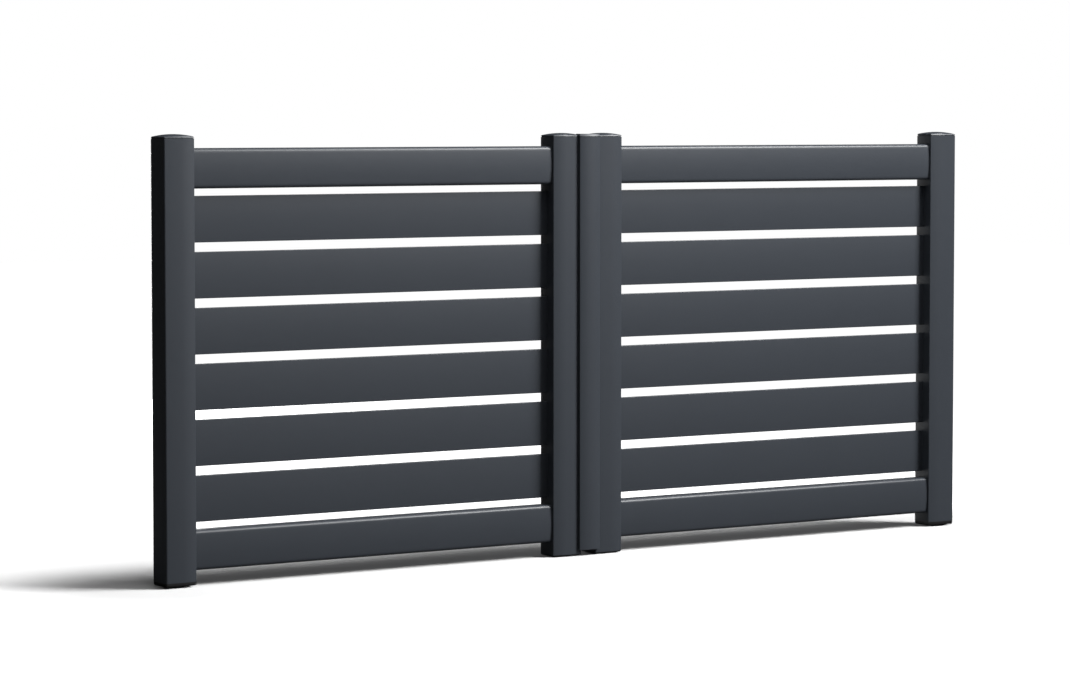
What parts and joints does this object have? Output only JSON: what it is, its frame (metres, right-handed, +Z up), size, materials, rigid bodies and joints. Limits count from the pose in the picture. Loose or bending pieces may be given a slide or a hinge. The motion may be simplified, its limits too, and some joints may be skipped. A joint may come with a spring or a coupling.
{
  "type": "double-leaf swing driveway gate",
  "caption": "Aluminium driveway gate with horizontal slats: two framed leaves that swing on floor pivots and a cover strip over the gap between them.",
  "frame": {"origin": "on the ground, on the left leaf's pivot axis, at the underside of the left floor pivot's plate", "axes": "+X along the closed gate from the left leaf to the right leaf, +Y into the property, +Z up"},
  "size_m": [2.752, 0.087, 1.2102],
  "materials": {
    "frame": "anthracite fine-texture powder coat on aluminium",
    "slat": "anthracite fine-texture powder coat on aluminium",
    "cap": "anthracite satin paint on cast aluminium",
    "foot_plug": "black moulded nylon",
    "bush": "dark self-lubricating plastic",
    "pivot_steel": "black painted steel"
  },
  "bodies": {
    "floor_pivots": {"left_floor_pivot": "pivot_steel", "right_floor_pivot": "pivot_steel"},
    "left_leaf": {"left_outer_stile": "frame", "left_meeting_stile": "frame", "left_outer_cap": "cap", "left_meeting_cap": "cap", "left_outer_foot": "foot_plug", "left_meeting_foot": "foot_plug", "left_pivot_bush": "bush", "left_top_rail": "frame", "left_bottom_rail": "frame", "left_slat_1": "slat", "left_slat_2": "slat", "left_slat_3": "slat", "left_slat_4": "slat", "left_slat_5": "slat", "left_slat_6": "slat", "cover_strip": "frame", "cover_strip_top_cap": "cap", "cover_strip_bottom_cap": "cap"},
    "right_leaf": {"right_outer_stile": "frame", "right_meeting_stile": "frame", "right_outer_cap": "cap", "right_meeting_cap": "cap", "right_outer_foot": "foot_plug", "right_meeting_foot": "foot_plug", "right_pivot_bush": "bush", "right_top_rail": "frame", "right_bottom_rail": "frame", "right_slat_1": "slat", "right_slat_2": "slat", "right_slat_3": "slat", "right_slat_4": "slat", "right_slat_5": "slat", "right_slat_6": "slat"}
  },
  "joints": [
    {"name": "left_leaf_swing", "type": "hinge", "parent": "floor_pivots", "child": "left_leaf", "pos_m": [0, 0, 0], "axis": [0, 0, 1], "range_deg": [0, 90]},
    {"name": "right_leaf_swing", "type": "hinge", "parent": "floor_pivots", "child": "right_leaf", "pos_m": [2.668, 0, 0], "axis": [0, 0, -1], "range_deg": [0, 90]}
  ]
}
